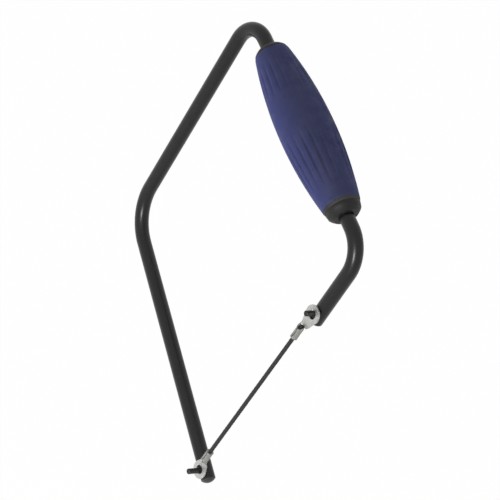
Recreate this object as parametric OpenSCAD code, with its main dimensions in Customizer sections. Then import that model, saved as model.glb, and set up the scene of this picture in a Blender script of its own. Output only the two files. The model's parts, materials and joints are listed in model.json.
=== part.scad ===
// Sprung-frame fret saw with a rod blade, lying on its side.
// The origin is on the rear peg's axis, at the height of the blade's centre line.
// +X runs along the blade from the front peg to the rear peg, under the handle.
// +Y points from the blade to the back of the frame, and +Z along the pegs.

/* [Frame] */
// Outside diameter of the bent tube
tube_d = 9.5; // [8:0.5:12]
// Wall thickness of the tube
tube_wall = 1.2; // [0.8:0.1:1.6]
// Distance between the two pegs
peg_span = 150; // [130:1:170]
// Height of the frame, from the foot's centre line to the top arm's
frame_h = 177.5; // [165:0.5:200]
// Length of the foot under the handle, from the rear peg to its corner
foot_l = 51; // [46:0.5:60]
// Angle at which the foot rises from the blade's line towards the handle
foot_slope = 1; // [0:0.1:2]
// Distance that the handle leans out over the height of the frame
handle_lean = 31; // [20:0.5:40]
// Length of the top arm between its two corners
top_arm_l = 172.5; // [155:0.5:190]
// Centre line radius of the bend between foot and handle
heel_bend_r = 21.5; // [16:0.5:24]
// Centre line radius of the bend between handle and top arm
crown_bend_r = 17; // [14:0.5:20]
// Centre line radius of the bend between top arm and front arm
nose_bend_r = 32; // [22:0.5:40]
// Length of tube beyond each peg
tube_past_peg = 6.3; // [5.5:0.1:9]

/* [Pegs] */
// Diameter of both pegs
peg_d = 3.6; // [3:0.1:4.2]
// Height of the rear peg above the tube
rear_peg_rise = 7; // [6:0.5:12]
// Height of the front peg above the tube
front_peg_rise = 9.5; // [8:0.5:14]
// Depth of the shallow waist that each lug sits in
waist_depth = 0.2; // [0.16:0.01:0.25]
// Chamfer round the free end of each peg
peg_chamfer = 0.2; // [0.1:0.1:0.6]

/* [End plugs] */
// Height of the domed head that closes each end of the tube
plug_dome_h = 2.2; // [1.5:0.1:3.5]
// Length of the spigot inside the tube
plug_spigot_l = 3; // [2:0.1:3.2]

/* [Grip] */
// Length of the grip
grip_l = 126; // [110:1:132]
// Distance from the corner at the heel to the grip's lower face
grip_from_heel = 25.5; // [23:0.5:27]
// Diameter of the grip at its belly
belly_d = 34.4; // [30:0.2:40]
// Diameter that the barrel curve reaches at the grip's two faces
grip_end_d = 20.4; // [19:0.2:24]
// Diameter of the flat face at each end of the grip
grip_face_d = 15; // [14:0.5:17]
// Height over which each end of the grip is rounded
grip_round_h = 3; // [2:0.1:4]
// Outside diameter of the core under the sleeve
core_d = 13.5; // [13:0.1:14]
// Length of the collar at the lower end of the core
lower_collar_l = 5.5; // [4.5:0.1:8]
// Length of the collar at the upper end of the core
upper_collar_l = 4.5; // [3.2:0.1:6]
// Step from the sleeve down to the collars
collar_step = 0.3; // [0.1:0.05:0.5]
// Number of flutes round the sleeve
flute_count = 20; // [12:1:24]
// Radius of each flute's many-sided section
flute_r = 1.4; // [0.8:0.1:1.6]
// Length of the flutes in the lower band
lower_flute_l = 40; // [24:1:42]
// Length of the flutes in the upper band
upper_flute_l = 30; // [20:1:34]
// Distance from the grip's lower face to the middle of the lower flutes
lower_flute_z = 38; // [34:1:42]
// Distance from the grip's lower face to the middle of the upper flutes
upper_flute_z = 99; // [90:1:102]

/* [Blade] */
// Diameter of the abrasive rod
rod_d = 2.2; // [1.6:0.1:2.6]
// Length of rod that shows past the inner end of each barrel
rod_past_barrel = 2.2; // [1:0.1:2.6]

/* [Lugs] */
// Diameter of the ring at the end of each lug
ring_d = 12; // [11:0.1:14]
// Diameter of the eye in the ring
eye_d = 6; // [5.4:0.1:6.6]
// Thickness of the lug's sheet
lug_t = 0.95; // [0.7:0.05:1.2]
// Outside diameter of the crimped barrel
barrel_d = 4.9; // [4.6:0.1:5.4]
// Length of the crimped barrel
barrel_l = 8; // [6:0.5:10]
// Distance from the rear eye's centre to its barrel
rear_barrel_from = 12.2; // [10:0.1:14]
// Distance from the front eye's centre to its barrel
front_barrel_from = 10.2; // [9.6:0.1:12]
// Length over which the sheet curls up into the barrel
curl_l = 3.2; // [2.5:0.1:3.6]
// Angle at which the curl opens towards the ring
curl_lean = 16; // [12:1:22]
// Length of the crimp's dent on top of the barrel
dent_l = 4.4; // [3:0.1:5]
// Width of the crimp's dent
dent_w = 1.8; // [1.2:0.1:2.2]
// Depth of the crimp's dent
dent_depth = 0.6; // [0.3:0.05:0.8]

/* [Fits] */
// Clearance between pieces that are pressed or pushed together
snug_gap = 0.03; // [0.02:0.01:0.05]
// Clearance between the lugs and the tube that they lie on
seat_gap = 0.3; // [0.2:0.05:0.4]
// Clearance between each peg's waist and the rim of its eye
hook_gap = 0.35; // [0.25:0.05:0.4]

/* [Hidden] */

// Sides of a flute's section, one of them flat on its floor
flute_sides = 8;
// Sides of the small round forms, the grip, the long barrel curve and the grip's domed ends
$fn = 64;
grip_fn = 96;
barrel_curve_fn = 1440;
dome_fn = 192;
// Length by which a cut runs past the faces that it opens
overrun = 1;
// How much thicker the wall is in the bends, on both its sides
bend_swell = 0.02;
// Length by which the end of each straight sinks into the wall of its bend
bend_sink = 0.3;

tube_r = tube_d / 2;
bore_r = tube_r - tube_wall;
peg_r = peg_d / 2;
waist_r = peg_r - waist_depth;
rod_r = rod_d / 2;
barrel_r = barrel_d / 2;
ring_r = ring_d / 2;
eye_r = eye_d / 2;

// Heights above and below the blade's centre line
lug_z = -barrel_r;
tube_top_z = lug_z - seat_gap;
frame_z = tube_top_z - tube_r;
// Height of each peg's waist above the top of the lug that sits in it
waist_play = 0.2;
waist_top_z = lug_z + lug_t + waist_play;
// A peg's foot ends where its edge meets the underside of the tube
peg_foot_z = frame_z - sqrt(tube_r * tube_r - peg_r * peg_r);

// The frame's centre line, from its rear end round to its front end
rear_peg_at = [0, 0];
front_peg_at = [-peg_span, 0];
heel = along(rear_peg_at, foot_slope, foot_l);
crown = along(along(heel, foot_slope, handle_lean), foot_slope + 90, frame_h);
nose = along(crown, foot_slope + 180, top_arm_l);
rear_end = along(rear_peg_at, heading(heel, rear_peg_at), tube_past_peg);
front_end = along(front_peg_at, heading(nose, front_peg_at), tube_past_peg);
corners = [rear_end, heel, crown, nose, front_end];
bend_rs = [0, heel_bend_r, crown_bend_r, nose_bend_r, 0];
last_corner = len(corners) - 1;
headings = [for (i = [0 : last_corner - 1]) heading(corners[i], corners[i + 1])];
turns = [
    for (i = [0 : last_corner])
        i == 0 || i == last_corner ? 0 : positive_angle(headings[i] - headings[i - 1])
];
// Straight length that each bend takes from both sides of its corner
bend_runs = [for (i = [0 : last_corner]) bend_rs[i] * tan(turns[i] / 2)];
straight_ls = [
    for (i = [0 : last_corner - 1])
        norm(corners[i + 1] - corners[i]) - bend_runs[i] - bend_runs[i + 1]
];

// The barrel curve of the grip is one arc over its whole length
belly_r = belly_d / 2;
grip_mid_z = grip_l / 2;
grip_sag = belly_r - grip_end_d / 2;
grip_curve_r = (grip_mid_z * grip_mid_z + grip_sag * grip_sag) / (2 * grip_sag);
grip_curve_centre = belly_r - grip_curve_r;
grip_face_r = grip_face_d / 2;
core_r = core_d / 2;

// The lugs' eyes lie nearer to each other than the pegs, which stretch the blade
eye_shift = eye_r - waist_r - hook_gap;
rear_eye_x = -eye_shift;
front_eye_x = -peg_span + eye_shift;
rod_rear_x = rear_eye_x - rear_barrel_from + rod_past_barrel;
rod_front_x = front_eye_x + front_barrel_from - rod_past_barrel;
// Where the neck's edges leave the ring, as shares of the ring's radius
neck_root_x_share = 0.3;
neck_root_y_share = 0.9;
// Half widths of the neck where the curl and the barrel start, as shares of the barrel's radius
neck_mid_share = 1.4;
neck_end_share = 0.9;
// How much wider the curl is than the barrel, how far it dips below the sheet, and their overlap
curl_swell = 0.06;
curl_dip = 0.03;
barrel_sink = 0.4;

// Direction of the line from point a to point b, in degrees
function heading(a, b) = atan2(b[1] - a[1], b[0] - a[0]);

// Point at a distance from point p in a direction
function along(p, angle, distance) = p + distance * [cos(angle), sin(angle)];

// The same angle between 0 and 360 degrees
function positive_angle(angle) = angle < 0 ? angle + 360 : angle;

// Radius of a barrel curve of the grip at a height above its lower face
function grip_radius_at(z, curve_r = grip_curve_r) =
    grip_curve_centre + sqrt(curve_r * curve_r - (z - grip_mid_z) * (z - grip_mid_z));

// Section of the tube, a hair thicker where it swells
module tube_section(swell = 0) {
    difference() {
        circle(tube_r + swell);
        circle(bore_r - swell);
    }
}

// The frame from straight i on, each piece set on the end of the last
module frame_from(i) {
    sunk_start = i == 0 ? 0 : bend_sink;
    sunk_end = i == last_corner - 1 ? 0 : bend_sink;
    translate([-sunk_start, 0, 0])
        rotate([-90, 0, -90])
            linear_extrude(sunk_start + straight_ls[i] + sunk_end) tube_section();
    if (i < last_corner - 1)
        translate([straight_ls[i], bend_rs[i + 1], 0]) {
            bend(turns[i + 1], bend_rs[i + 1]);
            rotate([0, 0, turns[i + 1]])
                translate([0, -bend_rs[i + 1], 0]) frame_from(i + 1);
        }
}

// Bend of the tube about the origin, from -Y round through a turn of under 180 degrees
module bend(turn, bend_r) {
    reach = bend_r + tube_d;
    rotate([0, 0, -90])
        intersection() {
            rotate_extrude() translate([bend_r, 0]) tube_section(bend_swell);
            translate([-reach, 0, -reach]) cube([2 * reach, reach, 2 * reach]);
            rotate([0, 0, turn])
                translate([-reach, -reach, -reach]) cube([2 * reach, reach, 2 * reach]);
        }
}

// Puts a piece at a point of the frame's centre line, with its Z along a direction
module at_frame(point, direction) {
    translate([point[0], point[1], frame_z])
        rotate([0, 0, direction])
            rotate([0, 90, 0]) children();
}

module frame_tube() {
    color("#3a3a3b")
        difference() {
            translate([rear_end[0], rear_end[1], frame_z])
                rotate([0, 0, headings[0]]) frame_from(0);
            for (at = [rear_peg_at, front_peg_at])
                translate([at[0], at[1], frame_z - tube_r - overrun])
                    cylinder(r = peg_r + snug_gap, h = tube_d + 2 * overrun);
        }
}

// Plug with a spigot in the tube and a domed head on its end, pointing along +Z
module end_plug() {
    dome_curve_r = (tube_r * tube_r + plug_dome_h * plug_dome_h) / (2 * plug_dome_h);
    color("#2c2c2d")
        union() {
            translate([0, 0, -plug_spigot_l])
                cylinder(r = bore_r - snug_gap, h = plug_spigot_l + plug_dome_h / 2);
            intersection() {
                translate([0, 0, plug_dome_h - dome_curve_r]) sphere(dome_curve_r);
                translate([0, 0, snug_gap]) cylinder(r = tube_r, h = plug_dome_h);
            }
        }
}

module rear_plug() {
    at_frame(rear_end, heading(heel, rear_end)) end_plug();
}

module front_plug() {
    at_frame(front_end, headings[last_corner - 1]) end_plug();
}

// Peg through both walls of the tube, with a waist for the lug and a free end
module peg(at, rise) {
    tip_z = tube_top_z + rise;
    color("#242427")
        translate([at[0], at[1], 0])
            difference() {
                union() {
                    translate([0, 0, peg_foot_z])
                        cylinder(r = peg_r, h = tip_z - peg_chamfer - peg_foot_z);
                    translate([0, 0, tip_z - peg_chamfer])
                        cylinder(r1 = peg_r, r2 = peg_r - peg_chamfer, h = peg_chamfer);
                }
                translate([0, 0, tube_top_z])
                    difference() {
                        cylinder(r = peg_r + overrun, h = waist_top_z - tube_top_z);
                        translate([0, 0, -overrun])
                            cylinder(r = waist_r, h = waist_top_z - tube_top_z + 2 * overrun);
                    }
            }
}

module rear_peg() {
    peg(rear_peg_at, rear_peg_rise);
}

module front_peg() {
    peg(front_peg_at, front_peg_rise);
}

// Puts a piece on the handle, with its Z up along the handle from the grip's lower face
module on_handle() {
    at_frame(along(heel, headings[1], grip_from_heel), headings[1]) children();
}

// The whole outer form of the grip, drawn in by an inset
module grip_form(inset = 0) {
    curve_r = grip_curve_r - inset;
    rotate_extrude($fn = grip_fn)
        intersection() {
            square([belly_r, grip_l]);
            translate([grip_curve_centre, grip_mid_z]) circle(curve_r, $fn = barrel_curve_fn);
            rounded_end(curve_r);
            translate([0, grip_l]) mirror([0, 1]) rounded_end(curve_r);
        }
}

// Half section that a dome rounds at the foot, from the flat face up to the barrel curve
module rounded_end(curve_r) {
    round_r = grip_radius_at(grip_round_h, curve_r);
    dome_z = (round_r * round_r + grip_round_h * grip_round_h - grip_face_r * grip_face_r)
        / (2 * grip_round_h);
    translate([0, dome_z]) circle(norm([grip_face_r, dome_z]), $fn = dome_fn);
    translate([0, grip_round_h]) square([belly_r, grip_l]);
}

module grip_core() {
    color("#303130") on_handle() difference() {
        union() {
            cylinder(r = core_r, h = grip_l);
            intersection() {
                grip_form(collar_step);
                union() {
                    cylinder(r = belly_r, h = lower_collar_l);
                    translate([0, 0, grip_l - upper_collar_l])
                        cylinder(r = belly_r, h = upper_collar_l);
                }
            }
        }
        translate([0, 0, -overrun])
            cylinder(r = tube_r + snug_gap, h = grip_l + 2 * overrun);
    }
}

// One straight cutter laid along the barrel curve, which sinks in by the length's sagitta
module flute(z, length) {
    depth = length * length / (8 * grip_curve_r);
    lean = asin((z - grip_mid_z) / grip_curve_r);
    half_side_angle = 180 / flute_sides;
    translate([grip_radius_at(z), 0, z])
        rotate([0, -lean, 0])
            translate([flute_r * cos(half_side_angle) - depth, 0, -length])
                rotate([0, 0, half_side_angle])
                    cylinder(r = flute_r, h = 2 * length, $fn = flute_sides);
}

module grip_sleeve() {
    sleeve_l = grip_l - lower_collar_l - upper_collar_l - 2 * snug_gap;
    color("#3b4070") on_handle() difference() {
        intersection() {
            grip_form();
            translate([0, 0, lower_collar_l + snug_gap]) cylinder(r = belly_r + overrun, h = sleeve_l);
        }
        translate([0, 0, -overrun])
            cylinder(r = core_r + snug_gap, h = grip_l + 2 * overrun);
        for (i = [0 : flute_count - 1])
            rotate([0, 0, (i + 1 / 2) * 360 / flute_count]) {
                flute(lower_flute_z, lower_flute_l);
                flute(upper_flute_z, upper_flute_l);
            }
    }
}

module blade_rod() {
    color("#333331")
        translate([rod_front_x, 0, 0])
            rotate([0, 90, 0])
                cylinder(r = rod_r, h = rod_rear_x - rod_front_x);
}

// Ring lug with a crimped barrel along +X, its eye at the origin and its sheet on Z = 0
module lug(barrel_from) {
    color("#c4c5c0")
        difference() {
            union() {
                cylinder(r = ring_r, h = lug_t);
                linear_extrude(lug_t)
                    polygon([
                        [neck_root_x_share * ring_r, neck_root_y_share * ring_r],
                        [neck_root_x_share * ring_r, -neck_root_y_share * ring_r],
                        [barrel_from - curl_l, -neck_mid_share * barrel_r],
                        [barrel_from, -neck_end_share * barrel_r],
                        [barrel_from, neck_end_share * barrel_r],
                        [barrel_from - curl_l, neck_mid_share * barrel_r]
                    ]);
                lug_barrel(barrel_from);
                lug_curl(barrel_from);
            }
            translate([0, 0, -overrun]) cylinder(r = eye_r, h = lug_t + 2 * overrun);
            translate([0, 0, barrel_r])
                rotate([0, 90, 0])
                    cylinder(r = rod_r + snug_gap, h = barrel_from + barrel_l + overrun);
        }
}

// The barrel, with the dent that the crimp leaves
module lug_barrel(barrel_from) {
    difference() {
        translate([barrel_from - barrel_sink, 0, barrel_r])
            rotate([0, 90, 0]) cylinder(r = barrel_r, h = barrel_l + barrel_sink);
        translate([barrel_from + (barrel_l - dent_l) / 2, -dent_w / 2, barrel_d - dent_depth])
            cube([dent_l, dent_w, dent_depth + overrun]);
    }
}

// The curl from sheet to barrel, a hollow cone cut off on a slant, with its lowest line level
module lug_curl(barrel_from) {
    difference() {
        translate([barrel_from, 0, barrel_r + curl_swell - curl_dip])
            rotate([0, curl_lean - 90, 0])
                difference() {
                    curl_cone(0, barrel_sink);
                    curl_cone(lug_t, 0);
                }
        rotate([90, 0, 0])
            linear_extrude(4 * barrel_d, center = true)
                polygon([
                    [barrel_from - 3 * curl_l, lug_t / 2],
                    [barrel_from - curl_l, lug_t / 2],
                    [barrel_from, barrel_d],
                    [barrel_from, 3 * barrel_d],
                    [barrel_from - 3 * curl_l, 3 * barrel_d]
                ]);
    }
}

// Cone about Z, a hair wider than the barrel at its foot, drawn in by a wall and sunk below Z = 0
module curl_cone(wall, sunk) {
    foot_r = (barrel_r + curl_swell - wall) / cos(curl_lean);
    translate([0, 0, -sunk])
        cylinder(
            r1 = foot_r - sunk * tan(curl_lean),
            r2 = foot_r + 2 * curl_l * tan(curl_lean),
            h = 2 * curl_l + sunk
        );
}

module rear_lug() {
    translate([rear_eye_x, 0, lug_z]) rotate([0, 0, 180]) lug(rear_barrel_from);
}

module front_lug() {
    translate([front_eye_x, 0, lug_z]) lug(front_barrel_from);
}

frame_tube();
rear_plug();
front_plug();
rear_peg();
front_peg();
grip_core();
grip_sleeve();
blade_rod();
rear_lug();
front_lug();
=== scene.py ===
"""Looks of a fret saw with a bent tube frame, a fluted barrel grip and an abrasive rod blade."""

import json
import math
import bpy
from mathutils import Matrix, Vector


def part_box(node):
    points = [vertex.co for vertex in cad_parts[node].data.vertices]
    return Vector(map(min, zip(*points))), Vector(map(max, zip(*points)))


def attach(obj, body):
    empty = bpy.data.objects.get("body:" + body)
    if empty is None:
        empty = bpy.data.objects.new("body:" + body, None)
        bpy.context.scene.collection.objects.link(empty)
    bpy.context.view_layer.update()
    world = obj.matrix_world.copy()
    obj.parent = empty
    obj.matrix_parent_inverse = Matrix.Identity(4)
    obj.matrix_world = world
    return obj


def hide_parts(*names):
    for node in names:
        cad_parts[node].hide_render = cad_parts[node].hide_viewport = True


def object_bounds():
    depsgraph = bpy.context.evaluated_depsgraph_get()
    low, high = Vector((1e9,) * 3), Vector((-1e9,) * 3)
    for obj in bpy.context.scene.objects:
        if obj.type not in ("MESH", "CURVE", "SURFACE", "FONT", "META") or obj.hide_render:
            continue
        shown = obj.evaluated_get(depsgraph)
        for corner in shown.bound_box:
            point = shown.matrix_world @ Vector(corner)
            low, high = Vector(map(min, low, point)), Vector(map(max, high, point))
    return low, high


bl_info = {
    "name": "Fret Saw",
    "version": (1, 0, 0),
    "blender": (4, 5, 0),
    "location": "3D View > Sidebar > Fret Saw",
    "description": "Dresses the frame, grip, blade and lugs of a fret saw and sets its studio",
    "category": "Add Mesh",
}

import bmesh
import bpy
from bpy.props import FloatProperty, FloatVectorProperty, IntProperty, PointerProperty
from mathutils import Matrix, Vector

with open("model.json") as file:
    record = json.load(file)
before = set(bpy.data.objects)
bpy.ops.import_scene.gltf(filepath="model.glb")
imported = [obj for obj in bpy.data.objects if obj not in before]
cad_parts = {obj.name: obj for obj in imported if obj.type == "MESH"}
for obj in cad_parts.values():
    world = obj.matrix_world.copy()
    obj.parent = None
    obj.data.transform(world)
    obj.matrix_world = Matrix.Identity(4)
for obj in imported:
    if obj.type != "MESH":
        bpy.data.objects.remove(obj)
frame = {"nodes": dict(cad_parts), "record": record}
cad_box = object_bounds()

MOUNTS = {mount["name"]: mount for mount in frame["record"]["mounts"]}
FRAME_BODY = "frame"
BLADE_BODY = "blade"

# Corners of a mesh sharper than this stay hard
SHARP_ANGLE = math.radians(35)
# Attribute of a lug's mesh: how much the crimp has worked the sheet, from 0 to 1, which darkens
# the plating over the scoop and barrel as painted shade and painted dark reflection
CRIMP_SHADE = "Crimped"
# Attribute of the sleeve's mesh: 1 on the dark band at its lower end, and otherwise 0
BANDED = "Banded"

# How finely the meshes are cut
FILLET_STEPS = 4
COLLAR_COLUMNS = 128
DOME_ROWS = 9
COLUMNS_PER_FLUTE = 16
BAND_ROWS = 4
BAND_EDGE_ROWS = 7
SLEEVE_ROWS = 102
ROD_COLUMNS = 24
ROD_ROWS = 40
RING_COLUMNS = 144
RING_CIRCLES = 4
HALF_SHEET_COLUMNS = 24
NECK_ROWS = 9
SCOOP_ROWS = 17
BARREL_ROWS = 25

# Powers of the curves that shape a flute's section, the scoop that leads up into a lug's
# barrel, the flare of the barrel's end, and the crimp's dent along and across the barrel
FLUTE_POWER = 1.2
SCOOP_POWER = 1.4
FLARE_POWER = 8
DENT_POWER_ALONG = 6
DENT_POWER_ACROSS = 4
# Rise of the sheet's edges where a lug's scoop starts, in thicknesses of the sheet
SCOOP_START_RISE = 0.3
# A sheet whose curl, in radians to the metre, is under this counts as flat
FLAT_CURL = 1e-6


def degrees(*angles):
    """Angles in radians."""
    return tuple(math.radians(angle) for angle in angles)


class FretSawFrameSettings(bpy.types.PropertyGroup):
    """Finishes of the bent tube, its end plugs and its pegs"""

    coat_colour: FloatVectorProperty(
        name="Coat colour", description="Colour of the tube's powder coat",
        default=(0.018, 0.018, 0.0182), subtype="COLOR", min=0, max=1)
    coat_peel: FloatProperty(
        name="Coat relief", description="Depth of the fine orange peel in the powder coat",
        default=0.00001, min=0, max=0.0005, precision=5, unit="LENGTH")
    plug_colour: FloatVectorProperty(
        name="Plug colour", description="Colour of the domed plastic end plugs",
        default=(0.070, 0.070, 0.067), subtype="COLOR", min=0, max=1)
    peg_colour: FloatVectorProperty(
        name="Peg colour", description="Colour of the blackened steel pegs",
        default=(0.024, 0.024, 0.029), subtype="COLOR", min=0, max=1)


class FretSawGripSettings(bpy.types.PropertyGroup):
    """Sizes and finishes of the grip's core and sleeve"""

    length: FloatProperty(
        name="Length", description="Length of the grip over both collars",
        default=0.126, min=0.1, max=0.15, precision=4, unit="LENGTH")
    belly_d: FloatProperty(
        name="Belly diameter", description="Diameter of the grip at its middle",
        default=0.0344, min=0.03, max=0.04, precision=4, unit="LENGTH")
    end_d: FloatProperty(
        name="End diameter", description="Diameter that the barrel curve reaches at both ends",
        default=0.0204, min=0.018, max=0.026, precision=4, unit="LENGTH")
    face_d: FloatProperty(
        name="Face diameter", description="Diameter of the flat face at each end",
        default=0.015, min=0.012, max=0.017, precision=4, unit="LENGTH")
    round_h: FloatProperty(
        name="Rounding", description="Height over which each end is rounded",
        default=0.003, min=0.001, max=0.004, precision=4, unit="LENGTH")
    bore_d: FloatProperty(
        name="Bore", description="Diameter of the core's bore on the tube",
        default=0.00956, min=0.008, max=0.012, precision=5, unit="LENGTH")
    core_d: FloatProperty(
        name="Core diameter", description="Diameter of the core under the sleeve",
        default=0.0135, min=0.012, max=0.015, precision=4, unit="LENGTH")
    lower_collar: FloatProperty(
        name="Lower collar", description="Length of the collar at the heel's end",
        default=0.0055, min=0.003, max=0.008, precision=4, unit="LENGTH")
    upper_collar: FloatProperty(
        name="Upper collar", description="Length of the collar at the crown's end",
        default=0.0045, min=0.003, max=0.008, precision=4, unit="LENGTH")
    band_l: FloatProperty(
        name="Dark band", description="Length of the sunk dark band at the sleeve's lower end",
        default=0.0021, min=0.001, max=0.006, precision=4, unit="LENGTH")
    collar_step: FloatProperty(
        name="Collar step", description="Step from the sleeve down to the collars",
        default=0.0003, min=0, max=0.001, precision=5, unit="LENGTH")
    collar_edge: FloatProperty(
        name="Collar edge", description="Radius of the collars' rounded edges",
        default=0.0003, min=0.0001, max=0.001, precision=5, unit="LENGTH")
    sleeve_edge: FloatProperty(
        name="Sleeve edge", description="Radius of the sleeve's rounded edges",
        default=0.0006, min=0.0001, max=0.001, precision=5, unit="LENGTH")
    gap: FloatProperty(
        name="Gap", description="Gap between sleeve and core",
        default=0.00003, min=0, max=0.0001, precision=5, unit="LENGTH")
    flute_count: IntProperty(
        name="Flutes", description="Number of flutes round the sleeve", default=20, min=8, max=30)
    flute_half_width: FloatProperty(
        name="Flute half width", description="Half the width of a flute at its widest",
        default=0.0012, min=0.0005, max=0.003, precision=5, unit="LENGTH")
    lower_flute_at: FloatProperty(
        name="Lower flutes", description="Distance from the lower face to these flutes' middle",
        default=0.038, min=0.02, max=0.06, precision=4, unit="LENGTH")
    lower_flute_l: FloatProperty(
        name="Lower flute length", description="Length of the lower flutes",
        default=0.040, min=0.02, max=0.045, precision=4, unit="LENGTH")
    upper_flute_at: FloatProperty(
        name="Upper flutes", description="Distance from the lower face to these flutes' middle",
        default=0.099, min=0.08, max=0.11, precision=4, unit="LENGTH")
    upper_flute_l: FloatProperty(
        name="Upper flute length", description="Length of the upper flutes",
        default=0.030, min=0.02, max=0.045, precision=4, unit="LENGTH")
    sleeve_colour: FloatVectorProperty(
        name="Sleeve colour", description="Colour of the soft sleeve",
        default=(0.035, 0.044, 0.178), subtype="COLOR", min=0, max=1)
    collar_colour: FloatVectorProperty(
        name="Collar colour", description="Colour of the moulded core and its collars",
        default=(0.027, 0.027, 0.0255), subtype="COLOR", min=0, max=1)


class FretSawBladeSettings(bpy.types.PropertyGroup):
    """Sizes and finishes of the rod and its two lugs"""

    coat: FloatProperty(
        name="Grit coat", description="Thickness of the rod's grit coat between the barrels",
        default=0.0003, min=0, max=0.0005, precision=5, unit="LENGTH")
    grain_r: FloatProperty(
        name="Grain radius", description="Mean radius of the abrasive grains",
        default=0.00014, min=0.00005, max=0.0004, precision=5, unit="LENGTH")
    grain_density: FloatProperty(
        name="Grain density", description="Grains on a square metre of the rod",
        default=5200000, min=100000, max=20000000)
    grain_seed: IntProperty(
        name="Grain seed", description="Seed that scatters the grains", default=7, min=0)
    grit_colour: FloatVectorProperty(
        name="Grit colour", description="Colour of the abrasive grains and their bond",
        default=(0.043, 0.042, 0.040), subtype="COLOR", min=0, max=1)
    sheet: FloatProperty(
        name="Sheet", description="Thickness of the lugs' sheet",
        default=0.00095, min=0.0005, max=0.0015, precision=5, unit="LENGTH")
    eye_d: FloatProperty(
        name="Eye", description="Diameter of the eye in each ring",
        default=0.006, min=0.004, max=0.008, precision=4, unit="LENGTH")
    barrel_d: FloatProperty(
        name="Barrel", description="Outside diameter of the crimped barrel",
        default=0.0049, min=0.004, max=0.006, precision=4, unit="LENGTH")
    barrel_l: FloatProperty(
        name="Barrel length", description="Length of the crimped barrel",
        default=0.008, min=0.004, max=0.012, precision=4, unit="LENGTH")
    curl_l: FloatProperty(
        name="Curl length", description="Length over which the sheet curls up into the barrel",
        default=0.0032, min=0.001, max=0.004, precision=4, unit="LENGTH")
    mouth_w: FloatProperty(
        name="Mouth width", description="Width of the neck where the curl starts",
        default=0.0070, min=0.005, max=0.009, precision=4, unit="LENGTH")
    lip: FloatProperty(
        name="Lip", description="How far the barrel's end flares beyond its squeezed middle",
        default=0.00014, min=0, max=0.0003, precision=5, unit="LENGTH")
    seam: FloatProperty(
        name="Seam", description="Gap between the two edges that meet on top of the barrel",
        default=0.0006, min=0, max=0.001, precision=5, unit="LENGTH")
    dent_l: FloatProperty(
        name="Dent length", description="Length of the crimp's dent",
        default=0.0048, min=0.001, max=0.008, precision=4, unit="LENGTH")
    dent_w: FloatProperty(
        name="Dent width", description="Width of the crimp's dent",
        default=0.0024, min=0.001, max=0.004, precision=4, unit="LENGTH")
    dent_depth: FloatProperty(
        name="Dent depth", description="Depth of the crimp's dent",
        default=0.00055, min=0, max=0.001, precision=5, unit="LENGTH")
    plate_colour: FloatVectorProperty(
        name="Plating colour", description="Colour of the zinc plating",
        default=(0.62, 0.62, 0.60), subtype="COLOR", min=0, max=1)
    # Painted shade: this darker colour over the scoop and barrel stands in for the shade and dark
    # reflections there
    crimp_colour: FloatVectorProperty(
        name="Crimp colour", description="Colour of the plating where the crimp has worked it",
        default=(0.40, 0.40, 0.38), subtype="COLOR", min=0, max=1)


class FretSawStageSettings(bpy.types.PropertyGroup):
    """Camera, floor and light"""

    camera_at: FloatVectorProperty(
        name="Camera place", description="Where the camera stands, in the saw's own frame",
        default=(0.57849, -0.51005, 0.67618), subtype="TRANSLATION", unit="LENGTH")
    camera_turn: FloatVectorProperty(
        name="Camera turn", description="How the camera is turned",
        default=degrees(1.259, 50.760, -42.502), subtype="EULER")
    lens: FloatProperty(
        name="Lens", description="Focal length of the camera", default=125.28, unit="CAMERA")
    floor_size: FloatProperty(
        name="Floor", description="Width of the floor", default=12.0, unit="LENGTH")
    floor_colour: FloatVectorProperty(
        name="Floor colour", description="Colour of the floor",
        default=(0.55, 0.55, 0.55), subtype="COLOR", min=0, max=1)
    floor_glow: FloatProperty(
        name="Floor glow", description="Share of plain white in the floor that the camera sees",
        default=0.99, min=0, max=1, subtype="FACTOR")
    sky_level: FloatProperty(
        name="Sky", description="Level of the even light from all sides", default=0.12, min=0)
    side_from: FloatVectorProperty(
        name="Side light place", description="Where the side light hangs, from the saw's centre",
        default=(-0.82, -0.06, 0.86), subtype="TRANSLATION", unit="LENGTH")
    side_size: FloatProperty(
        name="Side light size", description="Width of the side light",
        default=0.9, min=0.01, unit="LENGTH")
    side_energy: FloatProperty(
        name="Side light", description="Power of the large soft light beyond the front arm",
        default=12.0, min=0, unit="POWER")
    front_from: FloatVectorProperty(
        name="Front light place", description="Where the front light hangs, from the saw's centre",
        default=(0.27, -0.60, 0.80), subtype="TRANSLATION", unit="LENGTH")
    front_size: FloatProperty(
        name="Front light size", description="Width of the front light",
        default=0.16, min=0.01, unit="LENGTH")
    front_energy: FloatProperty(
        name="Front light", description="Power of the small light that draws the glints",
        default=7.2, min=0, unit="POWER")


# Nodes

def add_node(tree, kind, inputs=None, **settings):
    """Adds a node with its own settings, and sets or links its inputs."""
    made = tree.nodes.new(kind)
    for name, value in settings.items():
        setattr(made, name, value)
    for socket, value in (inputs or {}).items():
        if isinstance(value, bpy.types.NodeSocket):
            tree.links.new(value, made.inputs[socket])
        else:
            made.inputs[socket].default_value = value
    return made


def calculate(tree, operation, *terms):
    """Output of a Math node on up to three values or sockets."""
    made = add_node(tree, "ShaderNodeMath", dict(enumerate(terms)), operation=operation)
    return made.outputs[0]


def new_group(name, kind, inputs, outputs):
    """A node tree with named inputs and outputs, and its two end nodes."""
    tree = bpy.data.node_groups.new(name, kind)
    for label, socket, default in inputs:
        made = tree.interface.new_socket(label, in_out="INPUT", socket_type=socket)
        if default is not None:
            made.default_value = default
    for label, socket in outputs:
        tree.interface.new_socket(label, in_out="OUTPUT", socket_type=socket)
    return tree, tree.nodes.new("NodeGroupInput"), tree.nodes.new("NodeGroupOutput")


def object_noise(tree, scale, detail, roughness):
    """Noise on a piece's Object coordinates."""
    place = add_node(tree, "ShaderNodeTexCoord").outputs["Object"]
    return add_node(tree, "ShaderNodeTexNoise", {
        "Vector": place, "Scale": scale, "Detail": detail, "Roughness": roughness,
    }).outputs["Fac"]


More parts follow.
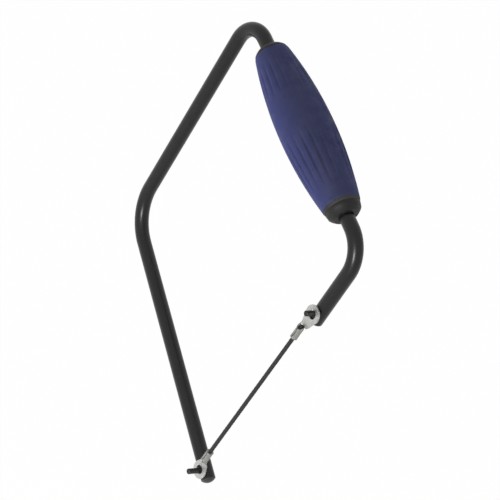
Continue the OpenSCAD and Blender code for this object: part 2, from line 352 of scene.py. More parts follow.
def mottle_group(name):
    """A colour that wanders a little lighter and darker over a piece, with its mask."""
    tree, start, end = new_group(
        name, "ShaderNodeTree",
        [("Colour", "NodeSocketColor", (0.5, 0.5, 0.5, 1)),
         ("Scale", "NodeSocketFloat", 100.0),
         ("Amount", "NodeSocketFloat", 0.1)],
        [("Colour", "NodeSocketColor"), ("Mask", "NodeSocketFloat")])
    noise = object_noise(tree, start.outputs["Scale"], detail=5.0, roughness=0.6)
    swing = calculate(
        tree, "MULTIPLY", calculate(tree, "SUBTRACT", noise, 0.5), start.outputs["Amount"])
    shade = add_node(tree, "ShaderNodeHueSaturation", {
        "Color": start.outputs["Colour"],
        "Value": calculate(tree, "MULTIPLY_ADD", swing, 2.0, 1.0)})
    tree.links.new(shade.outputs["Color"], end.inputs["Colour"])
    tree.links.new(noise, end.inputs["Mask"])
    return tree


def relief_group(name):
    """The normal of a fine uneven relief."""
    tree, start, end = new_group(
        name, "ShaderNodeTree",
        [("Scale", "NodeSocketFloat", 1000.0),
         ("Distance", "NodeSocketFloat", 0.0001)],
        [("Normal", "NodeSocketVector")])
    bump = add_node(tree, "ShaderNodeBump", {
        "Height": object_noise(tree, start.outputs["Scale"], detail=3.0, roughness=0.55),
        "Distance": start.outputs["Distance"], "Strength": 1.0})
    tree.links.new(bump.outputs["Normal"], end.inputs["Normal"])
    return tree


def specks_group(name):
    """Mask of scattered small specks, as of dust and rubs, and of painted glints on crystal faces.
    """
    tree, start, end = new_group(
        name, "ShaderNodeTree",
        [("Scale", "NodeSocketFloat", 500.0),
         ("Share", "NodeSocketFloat", 0.1)],
        [("Mask", "NodeSocketFloat")])
    place = add_node(tree, "ShaderNodeTexCoord").outputs["Object"]
    cells = add_node(tree, "ShaderNodeTexVoronoi", {
        "Vector": place, "Scale": start.outputs["Scale"]})
    shade = add_node(tree, "ShaderNodeSeparateColor", {"Color": cells.outputs["Color"]})
    chosen = calculate(tree, "LESS_THAN", shade.outputs["Red"], start.outputs["Share"])
    core = add_node(tree, "ShaderNodeMapRange", {
        "Value": cells.outputs["Distance"], "From Min": 0.15, "From Max": 0.45,
        "To Min": 1.0, "To Max": 0.0}, interpolation_type="SMOOTHSTEP")
    tree.links.new(calculate(tree, "MULTIPLY", chosen, core.outputs["Result"]), end.inputs["Mask"])
    return tree


def new_material(name, **constants):
    """A material with a Principled shader whose plain sockets are set, and that shader."""
    made = bpy.data.materials.new(name)
    made.use_nodes = True
    shader = made.node_tree.nodes["Principled BSDF"]
    for socket, value in constants.items():
        shader.inputs[socket.replace("_", " ")].default_value = value
    return made, shader


def use_group(tree, name, build, **inputs):
    """Places a shader node group, which is built once, with its own values."""
    group = bpy.data.node_groups.get(name) or build(name)
    return add_node(tree, "ShaderNodeGroup", inputs, node_tree=group)


def spread(tree, value, low, high):
    """Spreads a noise, which lies mostly between 0.3 and 0.7, over a range of values."""
    return add_node(tree, "ShaderNodeMapRange", {
        "Value": value, "From Min": 0.3, "From Max": 0.7, "To Min": low, "To Max": high,
    }).outputs["Result"]


def mix_colours(tree, mask, colour, tint, blend="MIX"):
    """Blends a tint into a colour by a mask, through the colour sockets of a Mix node."""
    made = tree.nodes.new("ShaderNodeMix")
    made.data_type = "RGBA"
    made.blend_type = blend
    sockets = [s for s in made.inputs if s.type == "RGBA"]
    for socket, value in ((made.inputs[0], mask), (sockets[0], colour), (sockets[1], tint)):
        if isinstance(value, bpy.types.NodeSocket):
            tree.links.new(value, socket)
        else:
            socket.default_value = value
    return [s for s in made.outputs if s.type == "RGBA"][0]


def rgba(colour, level=1.0):
    """A colour property as four numbers, at a share of its level."""
    return (*(level * channel for channel in colour), 1.0)


def finish_material(name, colour, mottle, relief, rough, specks, zone=None, **constants):
    """A finish from the shared effects: mottle is (scale, amount), relief (scale, distance),
    rough (low, high) and specks (scale, share, gain of the colour). A zone, if any, is the
    mesh attribute that marks it and its colour. Constants go to the shader's sockets."""
    made, shader = new_material(name, **constants)
    tree = made.node_tree
    ground = rgba(colour)
    if zone:
        attribute, zone_colour = zone
        marked = add_node(tree, "ShaderNodeAttribute", attribute_name=attribute).outputs["Fac"]
        ground = mix_colours(tree, marked, ground, zone_colour)
    scale, amount = mottle
    tone = use_group(
        tree, "Mottled colour", mottle_group, Colour=ground, Scale=scale, Amount=amount)
    scale, distance = relief
    surface = use_group(tree, "Fine relief", relief_group, Scale=scale, Distance=distance)
    scale, share, gain = specks
    spots = use_group(tree, "Specks", specks_group, Scale=scale, Share=share)
    base = mix_colours(
        tree, spots.outputs["Mask"], tone.outputs["Colour"], rgba((1, 1, 1), gain), "MULTIPLY")
    tree.links.new(base, shader.inputs["Base Color"])
    tree.links.new(spread(tree, tone.outputs["Mask"], *rough), shader.inputs["Roughness"])
    tree.links.new(surface.outputs["Normal"], shader.inputs["Normal"])
    return made


# Meshes

def new_piece(name, bm):
    """An object from a bmesh, with faces turned outwards and smooth between hard corners."""
    bmesh.ops.recalc_face_normals(bm, faces=bm.faces)
    mesh = bpy.data.meshes.new(name)
    bm.to_mesh(mesh)
    bm.free()
    mesh.polygons.foreach_set("use_smooth", [True] * len(mesh.polygons))
    mesh.set_sharp_from_angle(angle=SHARP_ANGLE)
    piece = bpy.data.objects.new(name, mesh)
    bpy.context.scene.collection.objects.link(piece)
    return piece


def dress(piece, material):
    """Gives a piece or a CAD node one material."""
    piece.data.materials.clear()
    piece.data.materials.append(material)


def settle(piece, body, node):
    """Makes a finished piece ride on its body in place of the CAD node that it stands for."""
    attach(piece, body)
    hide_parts(node)


def lathe(profile, columns):
    """A bmesh turned about Z from a closed profile of radii and heights off the axis."""
    bm = bmesh.new()
    lines = []
    for i in range(columns):
        angle = 2 * math.pi * i / columns
        lines.append([
            bm.verts.new((radius * math.cos(angle), radius * math.sin(angle), height))
            for radius, height in profile])
    for i, line in enumerate(lines):
        after = lines[(i + 1) % columns]
        for j in range(len(profile)):
            k = (j + 1) % len(profile)
            bm.faces.new((line[j], after[j], after[k], line[k]))
    return bm


def evenly(start, end, count):
    """Evenly spaced values from start to end."""
    return [start + (end - start) * i / (count - 1) for i in range(count)]


def fillet(points, radius):
    """A closed profile of points (radius, height), where those with a third value are
    corners that are rounded."""
    rounded = []
    for i, point in enumerate(points):
        here = Vector(point[:2])
        if len(point) < 3:
            rounded.append(tuple(here))
            continue
        before = (Vector(points[i - 1][:2]) - here).normalized()
        after = (Vector(points[(i + 1) % len(points)][:2]) - here).normalized()
        turn = before.angle(after)
        run = radius / math.tan(turn / 2)
        middle = here + (before + after).normalized() * (radius / math.sin(turn / 2))
        first = here + before * run - middle
        last = here + after * run - middle
        for share in evenly(0, 1, FILLET_STEPS + 1):
            spoke = first.slerp(last, share) * radius
            rounded.append(tuple(middle + spoke))
    return rounded


# Geometry nodes

def set_inputs(modifier, **values):
    """Sets a geometry nodes modifier's inputs by the identifiers of their sockets."""
    for item in modifier.node_group.interface.items_tree:
        label = getattr(item, "name", "").replace(" ", "_")
        if item.item_type == "SOCKET" and item.in_out == "INPUT" and label in values:
            modifier[item.identifier] = values[label]


def grow(piece, tree, **values):
    """Runs a geometry nodes tree on a piece and keeps its result as a plain mesh."""
    modifier = piece.modifiers.new(tree.name, "NODES")
    modifier.node_group = tree
    set_inputs(modifier, **values)
    graph = bpy.context.evaluated_depsgraph_get()
    mesh = bpy.data.meshes.new_from_object(piece.evaluated_get(graph), depsgraph=graph)
    piece.modifiers.remove(modifier)
    piece.data = mesh


def close_tree(tree, geometry, material, end):
    """Ends a geometry tree in real meshes with their material."""
    real = add_node(tree, "GeometryNodeRealizeInstances", {"Geometry": geometry})
    painted = add_node(tree, "GeometryNodeSetMaterial", {
        "Geometry": real.outputs["Geometry"], "Material": material})
    tree.links.new(painted.outputs["Geometry"], end.inputs["Geometry"])


def flute_band(tree, height, middle, length, depth):
    """Depth of a straight furrow along a barrel at a height: a parabola over its length."""
    offset = calculate(tree, "DIVIDE", calculate(tree, "SUBTRACT", height, middle), length)
    fall = calculate(tree, "MULTIPLY", calculate(tree, "MULTIPLY", offset, offset), 4.0)
    share = calculate(tree, "MAXIMUM", calculate(tree, "SUBTRACT", 1.0, fall), 0.0)
    return calculate(tree, "MULTIPLY", share, depth)


def flutes_tree():
    """Presses two bands of soft flutes into a barrel that stands on Z."""
    tree, start, end = new_group(
        "Sleeve flutes", "GeometryNodeTree",
        [("Geometry", "NodeSocketGeometry", None),
         ("Count", "NodeSocketFloat", 20.0),
         ("Half Width", "NodeSocketFloat", 0.001),
         ("Inner Radius", "NodeSocketFloat", 0.008),
         ("Lower Middle", "NodeSocketFloat", 0.0),
         ("Lower Length", "NodeSocketFloat", 1.0),
         ("Lower Depth", "NodeSocketFloat", 0.0),
         ("Upper Middle", "NodeSocketFloat", 0.0),
         ("Upper Length", "NodeSocketFloat", 1.0),
         ("Upper Depth", "NodeSocketFloat", 0.0),
         ("Material", "NodeSocketMaterial", None)],
        [("Geometry", "NodeSocketGeometry")])
    give = start.outputs
    place = add_node(tree, "ShaderNodeSeparateXYZ", {
        "Vector": add_node(tree, "GeometryNodeInputPosition").outputs["Position"]}).outputs
    radius = calculate(tree, "SQRT", calculate(
        tree, "MULTIPLY_ADD", place["X"], place["X"],
        calculate(tree, "MULTIPLY", place["Y"], place["Y"])))
    angle = calculate(tree, "ARCTAN2", place["Y"], place["X"])
    turns = calculate(
        tree, "MULTIPLY", calculate(tree, "DIVIDE", angle, 2 * math.pi), give["Count"])
    aside = calculate(tree, "SUBTRACT", calculate(
        tree, "FRACT", calculate(tree, "ADD", turns, give["Count"])), 0.5)
    pitch = calculate(
        tree, "DIVIDE", calculate(tree, "MULTIPLY", radius, 2 * math.pi), give["Count"])
    across = calculate(
        tree, "DIVIDE", calculate(tree, "MULTIPLY", aside, pitch), give["Half Width"])
    hollow = calculate(tree, "MAXIMUM", calculate(
        tree, "SUBTRACT", 1.0, calculate(tree, "MULTIPLY", across, across)), 0.0)
    section = calculate(tree, "POWER", hollow, FLUTE_POWER)
    depth = calculate(
        tree, "ADD",
        flute_band(tree, place["Z"], give["Lower Middle"], give["Lower Length"],
                   give["Lower Depth"]),
        flute_band(tree, place["Z"], give["Upper Middle"], give["Upper Length"],
                   give["Upper Depth"]))
    outside = calculate(tree, "GREATER_THAN", radius, give["Inner Radius"])
    press = calculate(tree, "MULTIPLY", calculate(tree, "MULTIPLY", depth, section), outside)
    inward = calculate(tree, "DIVIDE", calculate(tree, "MULTIPLY", press, -1.0), radius)
    move = add_node(tree, "ShaderNodeCombineXYZ", {
        "X": calculate(tree, "MULTIPLY", place["X"], inward),
        "Y": calculate(tree, "MULTIPLY", place["Y"], inward)})
    pressed = add_node(tree, "GeometryNodeSetPosition", {
        "Geometry": give["Geometry"], "Offset": move.outputs["Vector"]})
    close_tree(tree, pressed.outputs["Geometry"], give["Material"], end)
    return tree


def grit_tree():
    """Scatters turned grains of mixed size over a surface and keeps the surface."""
    tree, start, end = new_group(
        "Abrasive grit", "GeometryNodeTree",
        [("Geometry", "NodeSocketGeometry", None),
         ("Grain Radius", "NodeSocketFloat", 0.0001),
         ("Density", "NodeSocketFloat", 1000000.0),
         ("Seed", "NodeSocketInt", 0),
         ("Material", "NodeSocketMaterial", None)],
        [("Geometry", "NodeSocketGeometry")])
    give = start.outputs
    points = add_node(tree, "GeometryNodeDistributePointsOnFaces", {
        "Mesh": give["Geometry"], "Density": give["Density"], "Seed": give["Seed"]})
    grain = add_node(tree, "GeometryNodeMeshIcoSphere", {
        "Radius": give["Grain Radius"], "Subdivisions": 1})
    size = add_node(tree, "FunctionNodeRandomValue", {
        "Min": (0.55, 0.55, 0.55), "Max": (1.35, 1.35, 1.35), "Seed": give["Seed"]},
        data_type="FLOAT_VECTOR")
    turn = add_node(tree, "FunctionNodeRandomValue", {
        "Max": (2 * math.pi,) * 3, "Seed": give["Seed"]}, data_type="FLOAT_VECTOR")
    grains = add_node(tree, "GeometryNodeInstanceOnPoints", {
        "Points": points.outputs["Points"], "Instance": grain.outputs["Mesh"],
        "Rotation": turn.outputs["Value"], "Scale": size.outputs["Value"]})
    joined = add_node(tree, "GeometryNodeJoinGeometry")
    tree.links.new(grains.outputs["Instances"], joined.inputs["Geometry"])
    tree.links.new(give["Geometry"], joined.inputs["Geometry"])
    close_tree(tree, joined.outputs["Geometry"], give["Material"], end)
    return tree


# The grip's forms

def barrel_curve(grip):
    """Radius of the grip's long arc, and how far its centre lies beyond the axis."""
    middle = grip.length / 2
    sag = (grip.belly_d - grip.end_d) / 2
    curve_r = (middle * middle + sag * sag) / (2 * sag)
    return curve_r, grip.belly_d / 2 - curve_r


def barrel_radius(grip, height, inset=0.0):
    """Radius of the barrel at a height above the grip's lower face."""
    curve_r, centre = barrel_curve(grip)
    away = height - grip.length / 2
    return centre + math.sqrt((curve_r - inset) ** 2 - away * away)


def domed_end(grip, inset):
    """Radii and heights of the rounded end, from the flat face up to the barrel."""
    rim = barrel_radius(grip, grip.round_h, inset)
    face_r = grip.face_d / 2
    dome_at = (rim * rim + grip.round_h ** 2 - face_r * face_r) / (2 * grip.round_h)
    dome_r = math.hypot(face_r, dome_at)
    return [(math.sqrt(dome_r ** 2 - (height - dome_at) ** 2), height)
            for height in evenly(0, grip.round_h, DOME_ROWS)]


def grip_place(grip):
    """Matrix that sets the grip's own frame on the handle, Z up from its lower face."""
    mount = MOUNTS["grip"]
    up = Vector(mount["axis"]).normalized()
    aside = Vector((0, 0, -1))
    foot = Vector(mount["pos_m"]) - up * grip.length / 2
    turned = Matrix((aside, up.cross(aside), up)).transposed().to_4x4()
    return Matrix.Translation(foot) @ turned


def core_profile(grip):
    """Closed profile of the core: bore, domed ends, collars and the body under the sleeve."""
    inset = grip.collar_step
    bore_r = grip.bore_d / 2
    core_r = grip.core_d / 2
    top = grip.length
    upper = top - grip.upper_collar
    foot = domed_end(grip, inset)
    head = [(radius, top - height) for radius, height in reversed(foot)]
    return fillet([
        (bore_r, 0.0, True),
        *foot,
        (barrel_radius(grip, grip.lower_collar, inset), grip.lower_collar, True),
        (core_r, grip.lower_collar),
        (core_r, upper),
        (barrel_radius(grip, upper, inset), upper, True),
        *head,
        (bore_r, top, True),
    ], grip.collar_edge)


def band_reach(grip):
    """Heights between which the sunk dark band lies at the sleeve's lower end."""
    low = grip.lower_collar + grip.gap
    return low, low + grip.band_l


def sleeve_profile(grip):
    """Closed profile of the smooth sleeve before its flutes are pressed in. The sunk band
    comes first, and the sleeve rises from it over a rounded edge."""
    bore_r = grip.core_d / 2 + grip.gap
    low, band_top = band_reach(grip)
    high = grip.length - grip.upper_collar - grip.gap
    step = grip.collar_step
    edge = grip.sleeve_edge
    # The rounding starts just above the band's last row, so that the colours meet sharply
    rounding = []
    for share in evenly(0.02, 1, BAND_EDGE_ROWS):
        height = band_top + edge * share
        sunk = step * (1 - math.sqrt(1 - (1 - share) ** 2))
        rounding.append((barrel_radius(grip, height) - sunk, height))
    return fillet([
        (bore_r, low),
        (barrel_radius(grip, low, step), low, True),
        *((barrel_radius(grip, height, step), height)
          for height in evenly(low + 2 * edge, band_top, BAND_ROWS)),
        *rounding,
        *((barrel_radius(grip, height), height)
          for height in evenly(band_top + 2 * edge, high - 2 * edge, SLEEVE_ROWS)),
        (barrel_radius(grip, high), high, True),
        (bore_r, high),
    ], edge)


# The lugs' form

def bent_section(half, rise):
    """Half width laid flat, and curl, of a sheet bent to a half width and a rise of its edges."""
    if rise < half:
        turn = 2 * math.atan2(rise, half)
        curl = math.sin(turn) / half
    else:
        turn = math.acos(max(1 - rise / half, -1))
        curl = 1 / half
    return turn / curl, curl


def lug_stations(blade, ring_r, barrel_r, barrel_from, bore_r):
    """Where the curl starts, and the sections from there to the barrel's end, each as
    (along, half width laid flat, curl of the outer face, thickness, height of its lowest line)."""
    # The curl keeps clear of the ring
    curl_from = max(barrel_from - blade.curl_l, ring_r + blade.sheet / 4)
    waist_r = barrel_r - blade.lip
    mouth, mouth_rise = blade.mouth_w / 2, SCOOP_START_RISE * blade.sheet
    stations = []
    for share in evenly(0, 1, SCOOP_ROWS):
        # The scoop, whose edges climb to the top of the barrel
        half = waist_r + (mouth - waist_r) * (1 - share) ** SCOOP_POWER
        rise = mouth_rise + (2 * waist_r - mouth_rise) * share
        flat, curl = bent_section(half, rise)
        flat = min(flat, math.pi * half - blade.seam / 2)
        thick = blade.sheet + (waist_r - bore_r - blade.sheet) * share
        stations.append((curl_from + (barrel_from - curl_from) * share, flat, curl, thick,
                         blade.lip * share))
    for share in evenly(0, 1, BARREL_ROWS)[1:]:
        # The barrel, which flares a little at its end
        radius = waist_r + blade.lip * share ** FLARE_POWER
        stations.append((
            barrel_from + blade.barrel_l * share, math.pi * radius - blade.seam / 2,
            1 / radius, radius - bore_r, barrel_r - radius))
    return curl_from, stations


def curled(along, aside, curl, lift):
    """A point on a sheet that curls up about its middle line, lifted off the outer face."""
    if curl < FLAT_CURL:
        return Vector((along, aside, lift))
    turn = aside * curl
    return Vector((
        along,
        math.sin(turn) / curl - lift * math.sin(turn),
        (1 - math.cos(turn)) / curl + lift * math.cos(turn)))


def dent_at(blade, point, barrel_r, middle):
    """How far the crimp presses a point of the barrel down."""
    if point.z < barrel_r:
        return 0.0
    along = min(abs(point.x - middle) / (blade.dent_l / 2), 1.0)
    aside = min(abs(point.y) / (blade.dent_w / 2), 1.0)
    return blade.dent_depth * (1 - along ** DENT_POWER_ALONG) * (1 - aside ** DENT_POWER_ACROSS)


def lug_bmesh(blade, ring_r, barrel_r, barrel_from, rod_r):
    """A ring lug with its eye at the origin, its sheet on Z = 0 and its barrel along +X."""
    # A hair of air stays between the rod and the barrel's bore
    bore_r = rod_r + blade.sheet / 10
    curl_from, stations = lug_stations(blade, ring_r, barrel_r, barrel_from, bore_r)
    _, mouth_flat, mouth_curl, _, _ = stations[0]
    dent_middle = barrel_from + blade.barrel_l / 2
    bm = bmesh.new()
    # Layer that sets the painted shade and painted dark reflection on the scoop and barrel
    crimped = bm.verts.layers.float.new(CRIMP_SHADE)

    def skin(side):
        """One face of the sheet, as the ring's circles and the rows of the neck and barrel.
        Side is 0 for the outer face and 1 for the inner one."""
        rings = []
        for radius in evenly(blade.eye_d / 2, ring_r, RING_CIRCLES):
            rings.append([
                bm.verts.new((
                    radius * math.cos(2 * math.pi * i / RING_COLUMNS),
                    radius * math.sin(2 * math.pi * i / RING_COLUMNS), side * blade.sheet))
                for i in range(RING_COLUMNS)])
        rows = [[rings[-1][i % RING_COLUMNS]
                 for i in range(-HALF_SHEET_COLUMNS, HALF_SHEET_COLUMNS + 1)]]
        roots = [vert.co.copy() for vert in rows[0]]
        shares = [column / HALF_SHEET_COLUMNS - 1 for column in range(len(roots))]
        for along in evenly(0, 1, NECK_ROWS)[1:-1]:
            # Smoothstep, so that the flat ring runs into the curl without a kink
            ease = along * along * (3 - 2 * along)
            rows.append([
                bm.verts.new(curled(
                    root.x + (curl_from - root.x) * along,
                    root.y + (share * mouth_flat - root.y) * along,
                    ease * mouth_curl, side * blade.sheet))
                for share, root in zip(shares, roots)])
        for along, flat, curl, thick, low in stations:
            points = [curled(along, share * flat, curl, side * thick) for share in shares]
            for point in points:
                point.z += low
                if side == 0:
                    point.z -= dent_at(blade, point, barrel_r, dent_middle)
            rows.append([bm.verts.new(point) for point in points])
            # The painted shade grows over the scoop and is full on the barrel
            worked = min((along - curl_from) / (barrel_from - curl_from), 1.0)
            for vert in rows[-1]:
                vert[crimped] = worked
        return rings, rows

    under_rings, under_rows = skin(0)
    over_rings, over_rows = skin(1)

    def weave(first, second, flip):
        """A strip of faces between two rows of vertices, turned over by flip."""
        for a, b, c, d in zip(first, first[1:], second[1:], second):
            bm.faces.new((a, b, c, d) if flip else (d, c, b, a))

    for rings, flip in ((under_rings, True), (over_rings, False)):
        for inner, outer in zip(rings, rings[1:]):
            weave([*inner, inner[0]], [*outer, outer[0]], flip)
    for rows, flip in ((under_rows, True), (over_rows, False)):
        for near, far in zip(rows, rows[1:]):
            weave(near, far, flip)
    # Walls round the eye, the ring, the two long edges and the barrel's end
    weave([*over_rings[0], over_rings[0][0]], [*under_rings[0], under_rings[0][0]], True)
    free = range(HALF_SHEET_COLUMNS, RING_COLUMNS - HALF_SHEET_COLUMNS + 1)
    weave([under_rings[-1][i] for i in free], [over_rings[-1][i] for i in free], True)
    for side in (0, -1):
        weave([row[side] for row in under_rows], [row[side] for row in over_rows], side == 0)
    weave(under_rows[-1], over_rows[-1], True)
    return bm


# Operators

class FRETSAW_OT_frame(bpy.types.Operator):
    """Coats the bent tube, the end plugs and the pegs"""

    bl_idname = "fretsaw.frame"
    bl_label = "Finish frame"

    def execute(self, context):
        settings = context.scene.fret_saw_frame
        coat = finish_material(
            "Charcoal powder coat", settings.coat_colour, mottle=(260.0, 0.3),
            relief=(1300.0, settings.coat_peel), rough=(0.28, 0.33), specks=(420.0, 0.05, 1.7),
            Specular_IOR_Level=0.32)
        plastic = finish_material(
            "Plug plastic", settings.plug_colour, mottle=(420.0, 0.6),
            relief=(1600.0, 0.00003), rough=(0.45, 0.62), specks=(700.0, 0.1, 1.9))
        steel = finish_material(
            "Blackened steel", settings.peg_colour, mottle=(500.0, 0.3),
            relief=(2500.0, 0.00002), rough=(0.3, 0.48), specks=(900.0, 0.1, 2.5),
            Metallic=0.35)
        for node, finish in (
                ("frame_tube", coat), ("rear_plug", plastic), ("front_plug", plastic),
                ("rear_peg", steel), ("front_peg", steel)):
            dress(frame["nodes"][node], finish)
        return {"FINISHED"}


class FRETSAW_OT_grip_core(bpy.types.Operator):
    """Makes the grip's moulded core with a rounded collar at each end"""

    bl_idname = "fretsaw.grip_core"
    bl_label = "Add grip core"

    def execute(self, context):
        grip = context.scene.fret_saw_grip
        piece = new_piece("grip_collars", lathe(core_profile(grip), COLLAR_COLUMNS))
        piece.data.transform(grip_place(grip))
        dress(piece, finish_material(
            "Collar plastic", grip.collar_colour, mottle=(420.0, 0.35),
            relief=(1500.0, 0.00003), rough=(0.46, 0.6), specks=(600.0, 0.08, 1.7),
            Specular_IOR_Level=0.28))
        settle(piece, FRAME_BODY, "grip_core")
        return {"FINISHED"}


class FRETSAW_OT_grip_sleeve(bpy.types.Operator):
    """Makes the soft barrel sleeve and presses two bands of flutes into it"""

    bl_idname = "fretsaw.grip_sleeve"
    bl_label = "Add grip sleeve"

    def execute(self, context):
        grip = context.scene.fret_saw_grip
        # The band is darker than the collar, because the sleeve's finish shines more
        rubber = finish_material(
            "Sleeve rubber", grip.sleeve_colour, mottle=(150.0, 0.2),
            relief=(900.0, 0.00006), rough=(0.62, 0.8), specks=(760.0, 0.1, 1.2),
            zone=(BANDED, rgba(grip.collar_colour, 0.2)), Specular_IOR_Level=0.66)
        bm = lathe(sleeve_profile(grip), COLUMNS_PER_FLUTE * grip.flute_count)
        banded = bm.verts.layers.float.new(BANDED)
        _, band_top = band_reach(grip)
        slack = grip.gap / 10
        for vert in bm.verts:
            vert[banded] = float(vert.co.z < band_top + slack)
        piece = new_piece("grip_soft_sleeve", bm)
        curve_r, _ = barrel_curve(grip)
        # Each band runs out into the barrel's arc at both ends, and the bore isn't pressed
        grow(
            piece, flutes_tree(), Count=float(grip.flute_count),
            Half_Width=grip.flute_half_width, Inner_Radius=grip.core_d / 2 + 10 * grip.gap,
            Lower_Middle=grip.lower_flute_at, Lower_Length=grip.lower_flute_l,
            Lower_Depth=grip.lower_flute_l ** 2 / (8 * curve_r),
            Upper_Middle=grip.upper_flute_at, Upper_Length=grip.upper_flute_l,
            Upper_Depth=grip.upper_flute_l ** 2 / (8 * curve_r), Material=rubber)
        piece.data.transform(grip_place(grip))
        settle(piece, FRAME_BODY, "grip_sleeve")
        return {"FINISHED"}


class FRETSAW_OT_blade_rod(bpy.types.Operator):
    """Makes the rod and scatters abrasive grains over it"""

    bl_idname = "fretsaw.blade_rod"
    bl_label = "Add blade rod"

    def execute(self, context):
        blade = context.scene.fret_saw_blade
        low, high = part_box("blade_rod")
        rod_r = (high.z - low.z) / 2
        wire_r = rod_r - blade.grain_r
        length = high.x - low.x
        # A hair's bore keeps the lathe's profile off the axis
        heart_r = wire_r / 50
        # The coat starts just clear of the two barrels
        coat_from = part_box("front_lug")[1].x - low.x + blade.coat / 3
        coat_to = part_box("rear_lug")[0].x - low.x - blade.coat / 3
        heights = evenly(coat_from + blade.coat, coat_to - blade.coat, ROD_ROWS)
        profile = [
            (heart_r, 0.0),
            (wire_r - blade.grain_r, 0.0),
            (wire_r, blade.grain_r),
            (wire_r, coat_from),
            *((wire_r + blade.coat, height) for height in heights),
            (wire_r, coat_to),
            (wire_r, length - blade.grain_r),
            (wire_r - blade.grain_r, length),
            (heart_r, length)]
        piece = new_piece("grit_rod", lathe(profile, ROD_COLUMNS))
        piece.data.transform(
            Matrix.Translation((low.x, (low.y + high.y) / 2, (low.z + high.z) / 2))
            @ Matrix.Rotation(math.pi / 2, 4, "Y"))
        # Its specks, four times lighter than the grit, are painted glints of the grains' crystal
        # faces
        grit = finish_material(
            "Carbide grit", blade.grit_colour, mottle=(2600.0, 0.6),
            relief=(4200.0, 0.00006), rough=(0.5, 0.85), specks=(3200.0, 0.12, 4.0),
            Metallic=0.1)
        grow(
            piece, grit_tree(), Grain_Radius=blade.grain_r, Density=blade.grain_density,
            Seed=blade.grain_seed, Material=grit)
        settle(piece, BLADE_BODY, "blade_rod")
        return {"FINISHED"}


class FRETSAW_OT_lugs(bpy.types.Operator):
    """Makes the two crimped ring lugs of the blade"""

    bl_idname = "fretsaw.lugs"
    bl_label = "Add lugs"

    def execute(self, context):
        blade = context.scene.fret_saw_blade
        # The zone darkens the plating over the scoop and barrel: painted shade and painted dark
        # reflection
        zinc = finish_material(
            "Zinc plating", blade.plate_colour, mottle=(700.0, 0.3),
            relief=(2200.0, 0.00003), rough=(0.32, 0.5), specks=(1500.0, 0.12, 0.66),
            zone=(CRIMP_SHADE, rgba(blade.crimp_colour)), Metallic=0.42)
        rod_low, rod_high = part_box("blade_rod")
        rod_r = (rod_high.z - rod_low.z) / 2
        barrel_r = blade.barrel_d / 2
        for node, towards in (("rear_lug", -1), ("front_lug", 1)):
            low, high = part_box(node)
            ring_r = (high.y - low.y) / 2
            eye_x = low.x + ring_r if towards > 0 else high.x - ring_r
            reach = high.x - eye_x if towards > 0 else eye_x - low.x
            piece = new_piece(
                node.replace("_", "_crimped_"),
                lug_bmesh(blade, ring_r, barrel_r, reach - blade.barrel_l, rod_r))
            turn = Matrix.Rotation(0 if towards > 0 else math.pi, 4, "Z")
            piece.data.transform(
                Matrix.Translation((eye_x, (low.y + high.y) / 2, rod_low.z + rod_r - barrel_r))
                @ turn)
            # The sheared edges are broken by a seventh of the sheet's thickness
            bevel = piece.modifiers.new("Sheared edges", "BEVEL")
            bevel.width = blade.sheet / 7
            bevel.segments = 2
            bevel.limit_method = "ANGLE"
            bevel.angle_limit = SHARP_ANGLE
            dress(piece, zinc)
            settle(piece, BLADE_BODY, node)
        return {"FINISHED"}


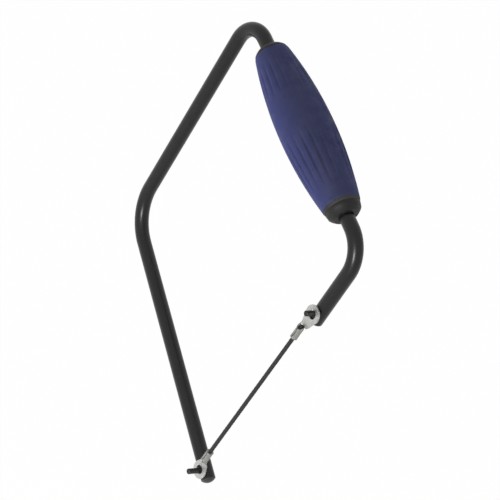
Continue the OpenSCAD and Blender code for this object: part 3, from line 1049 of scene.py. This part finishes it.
class FRETSAW_OT_stage(bpy.types.Operator):
    """Sets the floor, the white surroundings, the lights and the camera"""

    bl_idname = "fretsaw.stage"
    bl_label = "Set stage"

    def execute(self, context):
        stage = context.scene.fret_saw_stage
        context.scene.view_settings.view_transform = "Standard"
        self.add_floor(stage)
        self.add_sky(context, stage)
        side = self.add_light(
            context, "Side softbox", stage.side_from, stage.side_size, stage.side_energy)
        # The saw mirrors the white surroundings, and not this light's square
        side.visible_glossy = False
        front = self.add_light(
            context, "Front light", stage.front_from, stage.front_size, stage.front_energy)
        # This light only draws the glints on the bends
        front.visible_diffuse = False
        self.add_camera(context, stage)
        return {"FINISHED"}

    def add_floor(self, stage):
        """A white floor under the saw, which keeps a light shadow."""
        bm = bmesh.new()
        bmesh.ops.create_grid(bm, x_segments=1, y_segments=1, size=stage.floor_size / 2)
        bmesh.ops.translate(bm, verts=bm.verts, vec=(0, 0, cad_box[0].z))
        floor = new_piece("floor", bm)
        material = bpy.data.materials.new("White floor")
        material.use_nodes = True
        tree = material.node_tree
        tree.nodes.clear()
        matte = add_node(tree, "ShaderNodeBsdfDiffuse", {"Color": rgba(stage.floor_colour)})
        glow = add_node(tree, "ShaderNodeEmission", {"Color": (1, 1, 1, 1), "Strength": 1.0})
        share = calculate(tree, "MULTIPLY", self.seen_directly(tree), stage.floor_glow)
        mixed = add_node(tree, "ShaderNodeMixShader", {
            0: share, 1: matte.outputs["BSDF"], 2: glow.outputs["Emission"]})
        add_node(tree, "ShaderNodeOutputMaterial", {"Surface": mixed.outputs["Shader"]})
        dress(floor, material)

    def add_sky(self, context, stage):
        """Even light from all sides, which shows as plain white."""
        world = bpy.data.worlds.new("White studio")
        world.use_nodes = True
        context.scene.world = world
        tree = world.node_tree
        level = calculate(
            tree, "MULTIPLY_ADD", self.seen_directly(tree), 1.0 - stage.sky_level, stage.sky_level)
        background = tree.nodes["Background"]
        background.inputs["Color"].default_value = (1, 1, 1, 1)
        tree.links.new(level, background.inputs["Strength"])

    def seen_directly(self, tree):
        """1 for rays from the camera, a mirror or glass, and otherwise 0."""
        rays = add_node(tree, "ShaderNodeLightPath").outputs
        either = calculate(tree, "MAXIMUM", rays["Is Camera Ray"], rays["Is Glossy Ray"])
        return calculate(tree, "MAXIMUM", either, rays["Is Transmission Ray"])

    def add_light(self, context, name, offset, size, energy):
        """A square area light that faces the saw's centre from an offset to it."""
        lamp = bpy.data.lights.new(name, "AREA")
        lamp.size = size
        lamp.energy = energy
        holder = bpy.data.objects.new(name, lamp)
        holder.location = (cad_box[0] + cad_box[1]) / 2 + Vector(offset)
        holder.rotation_euler = Vector(offset).to_track_quat("Z", "Y").to_euler()
        context.scene.collection.objects.link(holder)
        return holder

    def add_camera(self, context, stage):
        """The camera that took the photograph."""
        camera = bpy.data.cameras.new("Photograph view")
        camera.lens = stage.lens
        # Far enough to see the whole floor from any side
        camera.clip_end = stage.floor_size * 4
        holder = bpy.data.objects.new("Photograph view", camera)
        holder.location = stage.camera_at
        holder.rotation_euler = stage.camera_turn
        context.scene.collection.objects.link(holder)
        context.scene.camera = holder


class FRETSAW_PT_panel(bpy.types.Panel):
    """Lists the saw's pieces and their sizes"""

    bl_idname = "FRETSAW_PT_panel"
    bl_label = "Fret Saw"
    bl_space_type = "VIEW_3D"
    bl_region_type = "UI"
    bl_category = "Fret Saw"

    def draw(self, context):
        for step in STEPS:
            self.layout.operator(step.bl_idname)
        for attribute in SETTINGS:
            box = self.layout.box()
            settings = getattr(context.scene, attribute)
            for name in settings.__annotations__:
                box.prop(settings, name)


STEPS = (
    FRETSAW_OT_frame,
    FRETSAW_OT_grip_core,
    FRETSAW_OT_grip_sleeve,
    FRETSAW_OT_blade_rod,
    FRETSAW_OT_lugs,
    FRETSAW_OT_stage,
)
SETTINGS = {
    "fret_saw_frame": FretSawFrameSettings,
    "fret_saw_grip": FretSawGripSettings,
    "fret_saw_blade": FretSawBladeSettings,
    "fret_saw_stage": FretSawStageSettings,
}


def register():
    """Registers the settings, the operators and the panel."""
    for attribute, group in SETTINGS.items():
        bpy.utils.register_class(group)
        setattr(bpy.types.Scene, attribute, PointerProperty(type=group))
    for made in (*STEPS, FRETSAW_PT_panel):
        bpy.utils.register_class(made)


def unregister():
    """Takes back what register made."""
    for made in reversed((*STEPS, FRETSAW_PT_panel)):
        bpy.utils.unregister_class(made)
    for attribute, group in reversed(SETTINGS.items()):
        delattr(bpy.types.Scene, attribute)
        bpy.utils.unregister_class(group)


def main():
    """Dresses the whole saw."""
    register()
    for step in STEPS:
        family, name = step.bl_idname.split(".")
        getattr(getattr(bpy.ops, family), name)()


if __name__ == "__main__":
    main()
